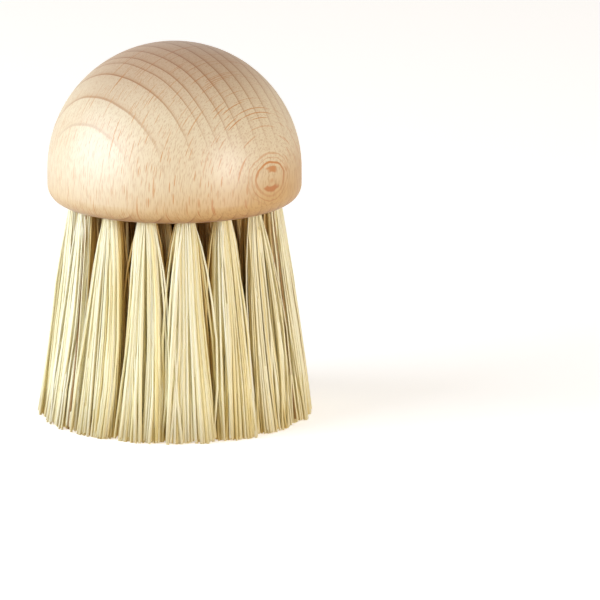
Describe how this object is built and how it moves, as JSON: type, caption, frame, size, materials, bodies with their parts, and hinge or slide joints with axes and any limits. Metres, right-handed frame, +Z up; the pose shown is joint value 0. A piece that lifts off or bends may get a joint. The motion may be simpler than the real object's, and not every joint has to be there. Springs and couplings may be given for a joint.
{
  "type": "vegetable brush",
  "caption": "Round vegetable brush: a turned beech dome to hold in the palm, with rings of stiff plant-fibre tufts set in its flat underside and trimmed level.",
  "frame": {"origin": "centre of the circle of trimmed bristle tips, on the surface that the brush stands on", "axes": "+Z up along the knob's axis, from the bristle tips to the top of the dome; +X to the right and +Y away from the picture's viewer"},
  "size_m": [0.0645, 0.0647, 0.0889],
  "materials": {
    "beech": "matte",
    "plant_fibre": "matte",
    "anchor_wire": "satin"
  },
  "bodies": {
    "root": {"handle": "beech", "tuft_outer_01": "plant_fibre", "tuft_outer_02": "plant_fibre", "tuft_outer_03": "plant_fibre", "tuft_outer_04": "plant_fibre", "tuft_outer_05": "plant_fibre", "tuft_outer_06": "plant_fibre", "tuft_outer_07": "plant_fibre", "tuft_outer_08": "plant_fibre", "tuft_outer_09": "plant_fibre", "tuft_outer_10": "plant_fibre", "tuft_outer_11": "plant_fibre", "tuft_outer_12": "plant_fibre", "tuft_outer_13": "plant_fibre", "tuft_outer_14": "plant_fibre", "tuft_outer_15": "plant_fibre", "tuft_outer_16": "plant_fibre", "tuft_middle_01": "plant_fibre", "tuft_middle_02": "plant_fibre", "tuft_middle_03": "plant_fibre", "tuft_middle_04": "plant_fibre", "tuft_middle_05": "plant_fibre", "tuft_middle_06": "plant_fibre", "tuft_middle_07": "plant_fibre", "tuft_middle_08": "plant_fibre", "tuft_middle_09": "plant_fibre", "tuft_inner_01": "plant_fibre", "tuft_inner_02": "plant_fibre", "tuft_inner_03": "plant_fibre", "tuft_inner_04": "plant_fibre", "anchors_outer": "anchor_wire", "anchors_middle": "anchor_wire", "anchors_inner": "anchor_wire"}
  },
  "joints": []
}
